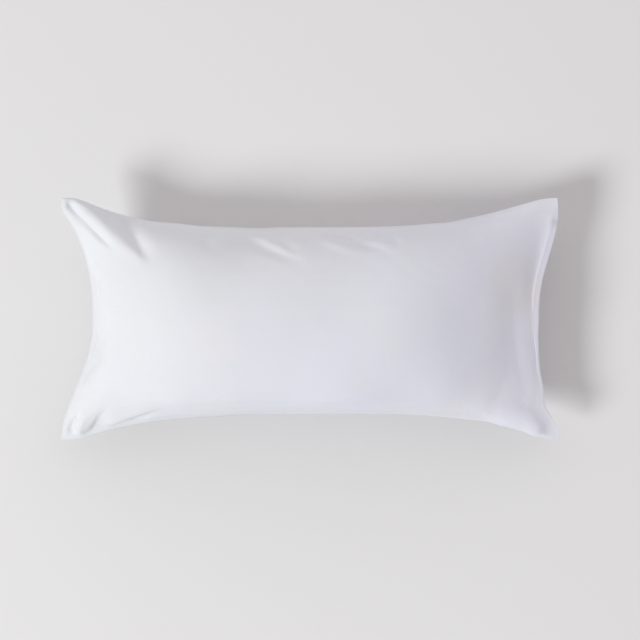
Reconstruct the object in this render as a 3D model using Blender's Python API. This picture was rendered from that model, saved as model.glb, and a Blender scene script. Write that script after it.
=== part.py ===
"""A plain white pillowcase for a long 80 x 40 cm pillow, filled and lying on its back.

Metres, +Z up. +X runs from the closed end to the mouth, +Y from the near long seam to the far one.
The case and its filling are one solid. Its upper and lower panels meet in a flat seam on three sides,
and at the mouth their two hemmed lips part in a shallow slit.
"""

from collections import namedtuple
from math import exp, hypot, pi, sin

import bmesh
import bpy
from mathutils import Vector

MM = 0.001

# The case as it is cut and sewn, laid flat and empty.
FLAT_LENGTH = 0.800
FLAT_WIDTH = 0.400

# Filled: small gathers take this much out of the distance between two corners.
LENGTH_GATHERED = 8 * MM
WIDTH_GATHERED = 14 * MM

# Heights: the seam above the surface that the case lies on, and the two panels above and below the seam.
SEAM_HEIGHT = 82 * MM
CLOSED_SAG = 12 * MM
MOUTH_LIFT = 8 * MM
END_GATHER = 4
CROWN_RISE = 107 * MM
BELLY_DROP = 88 * MM

# The ears at the corners: how far each is pulled in from its place, and lifted above the seam or drooping.
# `s` and `t` say which corner it is: -1 and 1 are the closed end and the mouth, and the near and far sides.
Ear = namedtuple("Ear", "s t pulled_x pulled_y lift")
EARS = (
    Ear(-1, -1, 0 * MM, 1 * MM, -18 * MM),
    Ear(1, -1, 0 * MM, 0 * MM, -20 * MM),
    Ear(-1, 1, 6 * MM, 2 * MM, 16 * MM),
    Ear(1, 1, 4 * MM, 0 * MM, 10 * MM),
)
EAR_GATHER = 3

# How a panel falls off from its middle to a seam. Power 2 with ease 0.5 is a quarter of an ellipse, a
# higher power is fuller, and an ease of 1 lets the cloth run out flat, as it does where the filling ends.
Fall = namedtuple("Fall", "power ease")
# A panel falls off to the closed end, to the mouth, and to the two sides.
Panel = namedtuple("Panel", "closed mouth sides")
CROWN = Panel(Fall(2.1, 0.48), Fall(2.0, 0.7), Fall(2.05, 0.49))
BELLY = Panel(Fall(3.4, 0.29), Fall(3.4, 0.29), Fall(3.0, 0.33))
EAR_FLATTENED = 0.55
EAR_FLAT_GATHER = 7

# The seam: both panels pressed together.
SEAM_WIDTH = 3.0 * MM
SEAM_HALF_THICKNESS = 0.9 * MM

# The mouth, between its two sewn ends. Its hem lies flat and shows as a band on the far half.
MOUTH_SEWN_SHARE = 0.08
MOUTH_SQUARENESS = 6
LIP_THICKNESS = 1.4 * MM
LIP_GAP = 2.0 * MM
LIP_REACH = 8
SLIT_DEPTH = 9.0 * MM
HEM_BAND = 9.0 * MM
HEM_BAND_STARTS = -0.35
HEM_BAND_RUN_IN = 0.4
HEM_BAND_ENDS = 0.97
HEM_BAND_RUN_OUT = 0.12

# Half an edge, from its deepest point to its corner: how square it is, how softly it meets the corner,
# and the share of the way to the corner where the drawing-in ends.
Half = namedtuple("Half", "power ease reach")
# A small pucker draws the seam further in, or lets it out where its depth is below 0.
Pucker = namedtuple("Pucker", "at width depth")
# A seam drawn in by the filling. `at` runs from -1 to 1 along the edge.
Edge = namedtuple("Edge", "drawn_in at start end puckers")
FAR_EDGE = Edge(
    47.0 * MM, -0.09, Half(3.6, 1.0, 0.94), Half(4.0, 1.5, 0.98),
    (Pucker(-0.55, 0.06, -1.5 * MM), Pucker(-0.22, 0.08, 1.5 * MM), Pucker(0.56, 0.05, 1.2 * MM)),
)
NEAR_EDGE = Edge(
    43.5 * MM, 0.13, Half(3.7, 1.0, 0.945), Half(3.0, 1.05, 0.97),
    (Pucker(-0.42, 0.10, -1.2 * MM), Pucker(0.71, 0.04, 2.0 * MM), Pucker(0.90, 0.03, -2.4 * MM)),
)
CLOSED_EDGE = Edge(
    50.5 * MM, -0.04, Half(1.9, 1.9, 1.0), Half(2.7, 1.0, 0.925),
    (Pucker(0.88, 0.06, -1.5 * MM),),
)
MOUTH_EDGE = Edge(
    34.0 * MM, 0.08, Half(4.0, 1.0, 0.925), Half(1.9, 1.9, 0.91),
    (Pucker(-0.72, 0.07, 3.0 * MM), Pucker(-0.55, 0.12, -2.5 * MM), Pucker(-0.12, 0.15, 1.2 * MM)),
)

# Soft swellings and hollows of the filling, on the upper panel, in millimetres from the middle.
Lump = namedtuple("Lump", "x y radius height")
LUMPS = (
    Lump(-300, -10, 90, -6),
    Lump(-160, -40, 110, 7),
    Lump(-220, 88, 68, 7),
    Lump(-90, 100, 70, -6),
    Lump(50, 60, 80, -6),
    Lump(60, -80, 100, 4),
    Lump(150, -10, 70, 4),
    Lump(210, 80, 80, 3),
    Lump(300, -70, 80, -6),
)

# Folds of the cloth: a ridge has a height above 0 and a trough one below it. Each runs straight between
# two points, in millimetres from the middle, and is as wide as `width_start` and `width_end` at its ends.
Fold = namedtuple("Fold", "x_start y_start x_end y_end width_start width_end height side")
FOLDS = (
    # At the far closed corner one long fold runs from the ear towards the middle, steep on its far side.
    Fold(-388, 184, -300, 92, 5, 8, -8.5, "upper"),
    Fold(-372, 184, -250, 76, 6, 12, 8.0, "upper"),
    Fold(-344, 178, -262, 108, 9, 11, -4.5, "upper"),
    Fold(-300, 158, -240, 82, 8, 8, -6.5, "upper"),
    Fold(-276, 148, -234, 92, 7, 11, 3.0, "upper"),
    # Along the far seam, two groups of short slanting folds.
    Fold(-160, 126, -112, 108, 16, 12, -2.5, "upper"),
    Fold(-104, 133, -12, 90, 6, 8, 4.0, "upper"),
    Fold(-116, 124, -14, 78, 7, 9, -3.4, "upper"),
    Fold(-76, 133, -18, 106, 7, 7, -2.2, "upper"),
    Fold(2, 136, 68, 112, 6, 7, -3.0, "upper"),
    Fold(14, 125, 74, 99, 7, 9, 2.4, "upper"),
    Fold(84, 118, 134, 96, 6, 6, -2.8, "upper"),
    Fold(90, 126, 138, 103, 5, 7, 3.2, "upper"),
    Fold(98, 135, 146, 112, 6, 6, -2.8, "upper"),
    # At the near closed corner, short folds that run into the ear.
    Fold(-366, -142, -386, -184, 5, 4, -8.0, "upper"),
    Fold(-350, -130, -371, -192, 8, 6, 5.0, "upper"),
    Fold(-318, -132, -362, -192, 7, 6, -7.5, "upper"),
    Fold(-248, -146, -338, -178, 8, 6, -3.5, "upper"),
    # At the far mouth corner, the small tuck where the sewn end of the mouth begins.
    Fold(369, 170, 373, 140, 5, 4, -3.0, "upper"),
    # Under the case, one plain fold at each ear.
    Fold(-372, 172, -300, 96, 9, 14, -4.0, "under"),
    Fold(-372, -172, -310, -104, 8, 13, -3.5, "under"),
    Fold(372, 172, 300, 108, 8, 14, -3.0, "under"),
    Fold(370, -174, 306, -100, 8, 12, -3.5, "under"),
)
# A fold begins at part of its height, reaches it over the first share of its length, and dies out slowly.
FOLD_BEGINS_AT = 0.4
FOLD_RISES_OVER = 0.3
FOLD_FADES_OVER = 0.5
FOLD_ENDS_AT = 0.1

RESTING_BELOW = 1 * MM
WELD_DISTANCE = 0.01 * MM

# Grid lines of a panel: each band ends at a share of the cloth from -1 to 1 and holds so many steps.
Band = namedtuple("Band", "end steps")
BANDS_LONG = (Band(-0.60, 25), Band(0.40, 28), Band(0.72, 11), Band(1.0, 9))
BANDS_WIDE = (Band(-0.50, 10), Band(0.25, 11), Band(1.0, 17))

CLOTH_COLOUR = (0.84, 0.84, 0.88, 1.0)
CLOTH_ROUGHNESS = 0.85


def clear_scene():
    for found in list(bpy.data.objects):
        bpy.data.objects.remove(found)


def limit(value, low, high):
    return max(low, min(high, value))


def smooth_step(value):
    value = limit(value, 0.0, 1.0)
    return value * value * (3 - 2 * value)


def inset(edge, along):
    """How far a seam lies inside the straight line between its corners."""
    half, span = (edge.start, 1 + edge.at) if along < edge.at else (edge.end, 1 - edge.at)
    away = min(1.0, abs(along - edge.at) / span / half.reach)
    puckered = sum(p.depth * exp(-(((along - p.at) / p.width) ** 2)) for p in edge.puckers)
    return edge.drawn_in * (1 - away**half.power) ** half.ease + puckered


def from_ears(values, s, t):
    """What the ears give at a point of the cloth: all of it at a corner, and none in the middle."""
    bilinear = sum(value * (1 + ear.s * s) * (1 + ear.t * t) / 4 for ear, value in zip(EARS, values))
    return bilinear * abs(s * t) ** EAR_GATHER


EAR_LIFTS = [ear.lift for ear in EARS]
EAR_PULLS_X = [ear.pulled_x for ear in EARS]
EAR_PULLS_Y = [ear.pulled_y for ear in EARS]
HALF_LENGTH = (FLAT_LENGTH - LENGTH_GATHERED) / 2
HALF_WIDTH = (FLAT_WIDTH - WIDTH_GATHERED) / 2


def far_y(s):
    return HALF_WIDTH - inset(FAR_EDGE, s) - from_ears(EAR_PULLS_Y, s, 1)


def near_y(s):
    return -HALF_WIDTH + inset(NEAR_EDGE, s) + from_ears(EAR_PULLS_Y, s, -1)


def closed_x(t):
    return -HALF_LENGTH + inset(CLOSED_EDGE, t) + from_ears(EAR_PULLS_X, -1, t)


def mouth_x(t):
    return HALF_LENGTH - inset(MOUTH_EDGE, t) - from_ears(EAR_PULLS_X, 1, t)


def bulge(share, fall):
    """The height of a filled section, from 0 at its seams to 1 in its middle."""
    across = abs(sin(pi / 2 * share))
    return (1 - across**fall.power) ** fall.ease


def fullness(s, t, panel):
    """How far a panel stands off the seam, from 0 to 1, with flat ears at the corners."""
    along = bulge(s, panel.closed if s < 0 else panel.mouth)
    across = bulge(t, panel.sides)
    if along * across == 0:
        return 0.0
    ear = 1 - EAR_FLATTENED * abs(s * t) ** EAR_FLAT_GATHER
    return ear / (1 / along + 1 / across - 1)


def seam_height(s, t):
    """The height of the seam. In the middle of its ends it sags at the closed one and rises at the mouth."""
    end_lift = MOUTH_LIFT if s > 0 else -CLOSED_SAG
    return SEAM_HEIGHT + end_lift * abs(s) ** END_GATHER * (1 - t * t) + from_ears(EAR_LIFTS, s, t)


def mouth_open(t):
    """How far the mouth is open, from 0 where it is sewn to 1."""
    return max(0.0, 1 - (abs(t) / (1 - MOUTH_SEWN_SHARE)) ** MOUTH_SQUARENESS) ** 0.5


def hem_band(t):
    """The width of the flat hem along the mouth, nothing on the near half and full on the far one."""
    run_in = smooth_step((t - HEM_BAND_STARTS) / HEM_BAND_RUN_IN)
    run_out = smooth_step((HEM_BAND_ENDS - t) / HEM_BAND_RUN_OUT)
    return HEM_BAND * run_in * run_out


def mouth_half_thickness(t):
    """Half the thickness of the two lips and the gap between them."""
    return SEAM_HALF_THICKNESS + (LIP_GAP / 2 + LIP_THICKNESS - SEAM_HALF_THICKNESS) * mouth_open(t)


def body_point(s, t, side):
    """A point of the filled cloth inside its seams. s and t run from -1 to 1, and side is 1 or -1."""
    # Where the cloth stands steeply at a seam, its points crowd together in plan.
    steep_s = bulge(t, CROWN.sides)
    steep_t = bulge(s, CROWN.closed)
    plan_s = s + (sin(pi / 2 * s) - s) * steep_s
    plan_t = t + (sin(pi / 2 * t) - t) * steep_t
    low_x = closed_x(t) + SEAM_WIDTH
    high_x = mouth_x(t) - SEAM_WIDTH - hem_band(t)
    low_y, high_y = near_y(s) + SEAM_WIDTH, far_y(s) - SEAM_WIDTH
    x = low_x + (high_x - low_x) * (1 + plan_s) / 2
    y = low_y + (high_y - low_y) * (1 + plan_t) / 2
    near_mouth = max(0.0, s) ** LIP_REACH
    pressed = SEAM_HALF_THICKNESS * (1 - near_mouth) + mouth_half_thickness(t) * near_mouth
    seam = seam_height(s, t) + side * pressed
    if side > 0:
        z = seam + CROWN_RISE * fullness(s, t, CROWN)
    else:
        z = max(0.0, seam - BELLY_DROP * fullness(s, t, BELLY))
    return Vector((x, y, z))


def mouth_point(t, side, step):
    """A point of a lip: 1 is its outer edge, 2 its inner edge, and 3 the bottom of the slit."""
    x = mouth_x(t) - (SLIT_DEPTH * mouth_open(t) if step == 3 else 0)
    sewn = mouth_open(t) == 0
    lift = {1: 0 if sewn else mouth_half_thickness(t), 2: LIP_GAP / 2 * mouth_open(t), 3: 0}[step]
    low_y, high_y = near_y(1) + SEAM_WIDTH, far_y(1) - SEAM_WIDTH
    y = low_y + (high_y - low_y) * (1 + t) / 2
    return Vector((x, y, seam_height(1, t) + side * lift))


def grid_lines(bands):
    """The shares of the cloth at which a panel's grid lines run."""
    lines, begin = [-1.0], -1.0
    for band in bands:
        lines += [begin + (band.end - begin) * (n + 1) / band.steps for n in range(band.steps)]
        begin = band.end
    return lines


LINES_LONG = grid_lines(BANDS_LONG)
LINES_WIDE = grid_lines(BANDS_WIDE)
# Outside the body lie one row of seam on each long side and at the closed end, and three rows of lip.
MOUTH_STEPS = 3


def panel_point(column, row, side):
    """The place of one grid point of a panel. Column 0 and the first and last rows are the seam."""
    s = LINES_LONG[int(limit(column - 1, 0, len(LINES_LONG) - 1))]
    t = LINES_WIDE[int(limit(row - 1, 0, len(LINES_WIDE) - 1))]
    lip = column - len(LINES_LONG)
    beyond_wide = (row > len(LINES_WIDE)) - (row < 1)
    if lip > 0:
        point = mouth_point(t, side, lip)
    else:
        point = body_point(s, t, side)
        point.x -= SEAM_WIDTH if column < 1 else 0
    if beyond_wide:
        point.y += beyond_wide * SEAM_WIDTH
    if column < 1 or beyond_wide:
        point.z = seam_height(s, t)
    return point


def add_panel(mesh, side):
    """Adds one panel, and returns the vertices of its filled part, which lies inside the seams."""
    columns, rows = len(LINES_LONG) + MOUTH_STEPS, len(LINES_WIDE) + 1
    faces_before = len(mesh.faces)
    made = bmesh.ops.create_grid(mesh, x_segments=columns, y_segments=rows, size=1)
    filled = []
    for vertex in made["verts"]:
        column = round((vertex.co.x + 1) / 2 * columns)
        row = round((vertex.co.y + 1) / 2 * rows)
        vertex.co = panel_point(column, row, side)
        if 1 < column < len(LINES_LONG) and 1 < row < len(LINES_WIDE):
            filled.append(vertex)
    if side < 0:
        mesh.faces.ensure_lookup_table()
        bmesh.ops.reverse_faces(mesh, faces=mesh.faces[faces_before:])
    return filled


def fold_relief(fold, x, y):
    """The height of one fold at a point in plan, all in millimetres."""
    run_x, run_y = fold.x_end - fold.x_start, fold.y_end - fold.y_start
    length = hypot(run_x, run_y)
    along = ((x - fold.x_start) * run_x + (y - fold.y_start) * run_y) / length**2
    across = ((x - fold.x_start) * run_y - (y - fold.y_start) * run_x) / length
    width = fold.width_start + (fold.width_end - fold.width_start) * limit(along, 0, 1)
    past_end = max(0.0, -along, along - 1) * length
    rise = smooth_step(along / FOLD_RISES_OVER + FOLD_BEGINS_AT)
    fade = smooth_step((1 - along) / FOLD_FADES_OVER + FOLD_ENDS_AT)
    return fold.height * rise * fade * exp(-((across / width) ** 2) - (past_end / width) ** 2)


def lump_relief(lump, x, y):
    return lump.height * exp(-((hypot(x - lump.x, y - lump.y) / lump.radius) ** 2))


def relief(x, y, side):
    """How far the cloth stands out of its smooth filled form, all in millimetres."""
    total = sum(fold_relief(fold, x, y) for fold in FOLDS if fold.side == side)
    if side == "upper":
        total += sum(lump_relief(lump, x, y) for lump in LUMPS)
    return total


def crease(vertices, side):
    """Raises the folds along the cloth's own normals, and leaves alone the face that it rests on."""
    raised = [vertex for vertex in vertices if vertex.co.z > RESTING_BELOW]
    moves = [vertex.normal * relief(vertex.co.x / MM, vertex.co.y / MM, side) * MM for vertex in raised]
    for vertex, move in zip(raised, moves):
        vertex.co += move


def split_along_folds(mesh):
    """Cuts each quad along the diagonal that its corner's folds follow, so that they stay smooth."""
    near = [face for face in mesh.faces if face.calc_center_median().y < 0]
    bmesh.ops.triangulate(mesh, faces=near, quad_method="FIXED")
    bmesh.ops.triangulate(mesh, faces=mesh.faces, quad_method="ALTERNATE")


def pillowcase_mesh():
    mesh = bmesh.new()
    upper = add_panel(mesh, 1)
    under = add_panel(mesh, -1)
    bmesh.ops.remove_doubles(mesh, verts=mesh.verts, dist=WELD_DISTANCE)
    mesh.normal_update()
    crease(upper, "upper")
    crease(under, "under")
    split_along_folds(mesh)
    data = bpy.data.meshes.new("pillowcase")
    mesh.to_mesh(data)
    mesh.free()
    data.shade_smooth()
    return data


def cotton():
    material = bpy.data.materials.new("white cotton")
    material.use_nodes = True
    shader = material.node_tree.nodes["Principled BSDF"]
    shader.inputs["Base Color"].default_value = CLOTH_COLOUR
    shader.inputs["Roughness"].default_value = CLOTH_ROUGHNESS
    shader.inputs["Metallic"].default_value = 0.0
    return material


def build():
    clear_scene()
    parts = bpy.data.collections.new("pillowcase")
    bpy.context.scene.collection.children.link(parts)
    case = bpy.data.objects.new("pillowcase", pillowcase_mesh())
    case.data.materials.append(cotton())
    parts.objects.link(case)


build()
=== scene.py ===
# %% [markdown]
# # A filled pillowcase
# This lesson dresses one plain CAD solid as a white cotton pillowcase on its pillow. The solid is
# in the frame already: it carries the size, the weight and the collision. What is made here is what
# the eye reads: the sewn outline, the folds that the filling pulls into the cloth, the hemmed
# mouth, and cotton.

# %% Load the frame
from collections import namedtuple

import bpy
import numpy as np
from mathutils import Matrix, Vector, noise


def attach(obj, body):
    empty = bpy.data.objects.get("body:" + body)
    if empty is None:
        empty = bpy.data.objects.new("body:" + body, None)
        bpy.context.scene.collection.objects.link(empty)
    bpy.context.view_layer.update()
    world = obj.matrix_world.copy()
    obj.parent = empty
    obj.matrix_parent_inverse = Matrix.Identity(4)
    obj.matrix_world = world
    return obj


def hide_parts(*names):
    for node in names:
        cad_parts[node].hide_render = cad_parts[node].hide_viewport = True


MM = 0.001

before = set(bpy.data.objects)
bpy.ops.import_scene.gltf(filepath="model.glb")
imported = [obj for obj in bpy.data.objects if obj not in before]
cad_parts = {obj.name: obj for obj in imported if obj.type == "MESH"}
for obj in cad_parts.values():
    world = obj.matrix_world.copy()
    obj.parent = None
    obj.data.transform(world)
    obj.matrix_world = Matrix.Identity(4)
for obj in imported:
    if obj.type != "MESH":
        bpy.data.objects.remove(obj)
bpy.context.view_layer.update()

# %% [markdown]
# ## The camera
# The case was looked at from straight above. A long lens keeps the two ends nearly the same size as
# the crown, which stands 19 cm nearer to the lens. An empty that the camera tracks would do as
# well, but a camera with no rotation already looks straight down, with +Y at the top of the
# picture.

# %% Place the camera
CAMERA_PLACE = (0.0154, -0.0008, 2.470)
LENS_MM = 85
SENSOR_MM = 36


def add_camera():
    camera = bpy.data.objects.new("camera", bpy.data.cameras.new("camera"))
    camera.data.lens = LENS_MM
    camera.data.sensor_width = SENSOR_MM
    camera.location = CAMERA_PLACE
    bpy.context.scene.collection.objects.link(camera)
    bpy.context.scene.camera = camera


add_camera()
print("camera at", CAMERA_PLACE)

# %% [markdown]
# ## The cut cloth and its seams
# A case for a long pillow is cut 80 x 40 cm. When it is filled its corners come a little closer
# together and each seam is drawn in between them, because the cloth now has to go up and over the
# filling. The solid has the same driving sizes, so this piece fits it with no adjusting.

# %% Sizes of the case
FLAT_LENGTH = 0.800
FLAT_WIDTH = 0.400
LENGTH_GATHERED = 8 * MM
WIDTH_GATHERED = 14 * MM
HALF_LENGTH = (FLAT_LENGTH - LENGTH_GATHERED) / 2
HALF_WIDTH = (FLAT_WIDTH - WIDTH_GATHERED) / 2
print(f"corner to corner: {HALF_LENGTH * 2000:.0f} x {HALF_WIDTH * 2000:.0f} mm")

# %% [markdown]
# ### How far each seam is drawn in
# Between two corners a seam bends inwards. It is deepest near its middle, and it runs out into a
# short straight end at each corner. The two halves of a seam never bend alike, so each has its own
# roundness (`power`), softness at its end (`ease`) and length (`reach`). A curve with handles would
# do too, but a function gives every row of the grid its own point from the same few numbers.

# %% The bend of each seam
Half = namedtuple("Half", "power ease reach")
Pucker = namedtuple("Pucker", "at width depth")
Edge = namedtuple("Edge", "drawn_in at start end puckers")
FAR_EDGE = Edge(
    47.0 * MM, -0.09, Half(3.6, 1.0, 0.94), Half(4.0, 1.5, 0.98),
    (Pucker(-0.55, 0.06, -1.5 * MM), Pucker(-0.22, 0.08, 1.5 * MM), Pucker(0.56, 0.05, 1.2 * MM)),
)
NEAR_EDGE = Edge(
    43.5 * MM, 0.13, Half(3.7, 1.0, 0.945), Half(3.0, 1.05, 0.97),
    (Pucker(-0.42, 0.10, -1.2 * MM), Pucker(0.71, 0.04, 2.0 * MM), Pucker(0.90, 0.03, -2.4 * MM)),
)
CLOSED_EDGE = Edge(
    50.5 * MM, -0.04, Half(1.9, 1.9, 1.0), Half(2.7, 1.0, 0.925),
    (Pucker(0.88, 0.06, -1.5 * MM),),
)
MOUTH_EDGE = Edge(
    35.5 * MM, 0.08, Half(4.0, 1.0, 0.925), Half(1.9, 1.9, 0.91),
    (Pucker(-0.72, 0.07, 3.0 * MM), Pucker(-0.55, 0.12, -2.5 * MM), Pucker(-0.12, 0.15, 1.2 * MM)),
)
EDGES = {"far": FAR_EDGE, "near": NEAR_EDGE, "closed": CLOSED_EDGE, "mouth": MOUTH_EDGE}
for name, edge in EDGES.items():
    print(f"{name} seam drawn in by {edge.drawn_in * 1000:.1f} mm")

# %% [markdown]
# ### The ears
# No filling gets into the last few centimetres of a corner, so the cloth there is a flat ear. Three
# of the ears hang a little below the seam and one stands up. Bending the finished mesh would
# stretch the weave, so each ear's pull and lift are worked out for every point of the cloth, and
# fade quickly off the corner.

# %% The ears at the corners
Ear = namedtuple("Ear", "s t pulled_x pulled_y lift")
EARS = (
    Ear(-1, -1, 0 * MM, 1 * MM, -18 * MM),
    Ear(1, -1, 0 * MM, 0 * MM, -20 * MM),
    Ear(-1, 1, 6 * MM, 2 * MM, 16 * MM),
    Ear(1, 1, 4 * MM, 0 * MM, -8 * MM),
)
EAR_GATHER = 3


def from_ears(what, s, t):
    """What the ears give at each point of the cloth: all of it at a corner, and none in the middle."""
    corners = sum(getattr(ear, what) * (1 + ear.s * s) * (1 + ear.t * t) / 4 for ear in EARS)
    return corners * np.abs(s * t) ** EAR_GATHER


print("ears:", ", ".join(f"{ear.lift * 1000:+.0f} mm" for ear in EARS))

# %% [markdown]
# ### Where the seams lie
# Each seam starts from the straight line between its corners and is moved in by its bend and its
# puckers. Beside a corner it turns off its straight end over a few millimetres, because cloth has
# no sharp kinks.

# %% Where the seams lie
CORNER_SOFTNESS = 0.015


def drawn_half(half, away):
    """The share of the drawing-in along half a seam, from 1 at its deepest point to 0 at its end."""
    left = CORNER_SOFTNESS * np.logaddexp(0, (1 - away / half.reach) / CORNER_SOFTNESS)
    return (1 - np.maximum(0, 1 - left) ** half.power) ** half.ease


def inset(edge, along):
    """How far a seam lies inside the straight line between its corners."""
    away = np.abs(along - edge.at)
    start = drawn_half(edge.start, away / (1 + edge.at))
    end = drawn_half(edge.end, away / (1 - edge.at))
    puckered = sum(p.depth * np.exp(-(((along - p.at) / p.width) ** 2)) for p in edge.puckers)
    return edge.drawn_in * np.where(along < edge.at, start, end) + puckered


def far_y(s):
    return HALF_WIDTH - inset(FAR_EDGE, s) - from_ears("pulled_y", s, 1)


def near_y(s):
    return -HALF_WIDTH + inset(NEAR_EDGE, s) + from_ears("pulled_y", s, -1)


def closed_x(t):
    return -HALF_LENGTH + inset(CLOSED_EDGE, t) + from_ears("pulled_x", -1, t)


def mouth_x(t):
    return HALF_LENGTH - inset(MOUTH_EDGE, t) - from_ears("pulled_x", 1, t)


WAIST = float(far_y(0.0) - near_y(0.0))
print(f"drawn in from {FLAT_WIDTH * 1000:.0f} to {WAIST * 1000:.0f} mm at the waist")

# %% [markdown]
# ## The filled form
# Each panel is a soft dome over the rectangle of its seams. A point of the cloth is known by `s`,
# which runs from -1 at the closed end to 1 at the mouth, and `t`, from -1 at the near seam to 1 at
# the far one. A sculpted blob could look alike, but with `s` and `t` every fold, hem and thread can
# be put in its place on the cloth, and the weave lies along the threads.

# %% Heights of the crown and the belly
CROWN_RISE = 107 * MM
BELLY_DROP = 88 * MM
EAR_FLATTENED = 0.55
EAR_FLAT_GATHER = 7

Fall = namedtuple("Fall", "power ease soft", defaults=(0.0,))
Panel = namedtuple("Panel", "closed mouth sides")
CROWN = Panel(Fall(2.1, 0.48), Fall(2.0, 0.7, 0.02), Fall(2.05, 0.49))
BELLY = Panel(Fall(3.4, 0.29), Fall(3.4, 0.29), Fall(3.0, 0.33))


def bulge(share, fall):
    """The height of a filled section, from 0 at its seams to 1 in its middle.

    A soft section leaves its seam less steeply.
    """
    across = np.abs(np.sin(np.pi / 2 * share))
    at_seam = fall.soft**fall.ease
    rise = (np.maximum(0, 1 - across**fall.power) + fall.soft) ** fall.ease - at_seam
    return rise / ((1 + fall.soft) ** fall.ease - at_seam)


def fullness(s, t, panel):
    """How far a panel stands off the seam, from 0 to 1, with flat ears at the corners."""
    nothing = 1e-9
    along = np.where(s < 0, bulge(s, panel.closed), bulge(s, panel.mouth)) + nothing
    across = bulge(t, panel.sides) + nothing
    ear = 1 - EAR_FLATTENED * np.abs(s * t) ** EAR_FLAT_GATHER
    return ear / (1 / along + 1 / across - 1)


HALFWAY = float(fullness(0.0, 0.5, CROWN))
print("halfway to the far seam the crown is", round(HALFWAY, 2), "of its height")

# %% [markdown]
# ### How high the seam stands
# The filling holds the seam up off the surface, at not quite half the height of the crown. It isn't
# level: it sags in the middle of the closed end, and at the mouth it is pushed up in its middle and
# hangs a little on its near half. The dome stands on this line, so a bend here moves both panels
# together.

# %% Heights of the seam
SEAM_HEIGHT = 82 * MM
CLOSED_SAG = 12 * MM
CLOSED_GATHER = 10
MOUTH_GATHER = 37

Bend = namedtuple("Bend", "at reach height")
MOUTH_BENDS = (Bend(0.0, 0.32, 9 * MM), Bend(-0.62, 0.25, -4.5 * MM))


def seam_height(s, t):
    """The height of the seam, which sags in the middle of the closed end and bends at the mouth."""
    mouth_lift = sum(bend.height * np.exp(-(((t - bend.at) / bend.reach) ** 2)) for bend in MOUTH_BENDS)
    end = np.abs(s)
    end_lift = np.where(s > 0, mouth_lift * end**MOUTH_GATHER, -CLOSED_SAG * end**CLOSED_GATHER)
    return SEAM_HEIGHT + end_lift * (1 - t * t) + from_ears("lift", s, t)


print(f"seam {SEAM_HEIGHT * 1000:.0f} mm up, {seam_height(-1.0, 0.0) * 1000:.0f} mm at the closed end")

# %% [markdown]
# ## The mouth
# At the mouth the two panels are turned under once and sewn, so each ends in a soft double lip. The
# lips lie nearly together, with a dark slit between them, and are sewn to each other at the two
# corners. On the far half the double cloth lies as a flat band. Two flat strips laid on the dome
# would show a step, so the dome itself stops at the hem's inner edge.

# %% The lips of the mouth
SEAM_WIDTH = 3.0 * MM
SEAM_DROOP = 2.2 * MM
DROOP_GATHER = 20
SEAM_HALF_THICKNESS = 0.9 * MM
MOUTH_SEWN_SHARE = 0.08
MOUTH_SQUARENESS = 6
MOUTH_EASE = 1.2
LIP_THICKNESS = 1.4 * MM
LIP_GAP = 2.6 * MM
LIP_RUN_IN = 0.8
HEM_BAND = 9.0 * MM
HEM_BAND_STARTS = -0.35
HEM_BAND_RUN_IN = 0.4
HEM_BAND_ENDS = 0.97
HEM_BAND_RUN_OUT = 0.12
HEM_SLOPE = 0.18
HEM_STEEPENS = 4
LIP_SLOPE = 0.5
TUCK_AT = 0.81
TUCK_WIDTH = 0.03
TUCK_DEPTH = 3.0 * MM


def smooth_step(value):
    """A soft ramp from 0 to 1."""
    value = np.clip(value, 0, 1)
    return value * value * (3 - 2 * value)


def mouth_open(t):
    """How far the mouth is open, from 0 where it is sewn to 1."""
    return np.maximum(0, 1 - (np.abs(t) / (1 - MOUTH_SEWN_SHARE)) ** MOUTH_SQUARENESS) ** MOUTH_EASE


def mouth_half_thickness(t):
    return SEAM_HALF_THICKNESS + (LIP_GAP / 2 + LIP_THICKNESS - SEAM_HALF_THICKNESS) * mouth_open(t)


def hem_band(t):
    """The width of the flat hem along the mouth, nothing on the near half and full on the far one."""
    run_in = smooth_step((t - HEM_BAND_STARTS) / HEM_BAND_RUN_IN)
    run_out = smooth_step((HEM_BAND_ENDS - t) / HEM_BAND_RUN_OUT)
    return HEM_BAND * run_in * run_out


def hem_rise(t):
    """How much higher the hem's inner edge is than the lip. Near the far corner the hem is steepest."""
    lip_rise = LIP_SLOPE * SEAM_WIDTH * mouth_open(t)
    return lip_rise + HEM_SLOPE * (1 + t**HEM_STEEPENS) * hem_band(t)


print(f"slit {LIP_GAP * 1000:.1f} mm high between lips {LIP_THICKNESS * 1000:.1f} mm thick")

# %% [markdown]
# ### Every point of the filled cloth
# The cloth between the seams is stretched over them row by row. Beside a seam it stands nearly
# upright, so equal steps along the cloth are short steps in plan. With equal steps in plan instead,
# the steep sides would have few points, and their folds would be coarse.

# %% Points of the filled cloth
def in_plan(share, across, fall):
    """Where a share of the cloth lies in plan, when points crowd beside a steep seam."""
    return share + (np.sin(np.pi / 2 * share) - share) * bulge(across, fall)


def body_points(s, t, side):
    """Points of the filled cloth inside its seams, on the upper panel (side 1) or the under one (-1)."""
    plan_s = in_plan(s, t, CROWN.sides)
    plan_t = in_plan(t, s, CROWN.closed)
    low_x = closed_x(t) + SEAM_WIDTH
    high_x = mouth_x(t) - SEAM_WIDTH - hem_band(t)
    low_y, high_y = near_y(s) + SEAM_WIDTH, far_y(s) - SEAM_WIDTH
    x = low_x + (high_x - low_x) * (1 + plan_s) / 2
    y = low_y + (high_y - low_y) * (1 + plan_t) / 2
    near_mouth = smooth_step(s / LIP_RUN_IN)
    lip = mouth_half_thickness(t) + hem_rise(t)
    pressed = SEAM_HALF_THICKNESS * (1 - near_mouth) + lip * near_mouth
    seam = seam_height(plan_s, plan_t) + side * pressed
    if side > 0:
        z = seam + CROWN_RISE * fullness(s, t, CROWN)
    else:
        z = np.maximum(0, seam - BELLY_DROP * fullness(s, t, BELLY))
    return np.stack([x, y, z], axis=-1)


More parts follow.
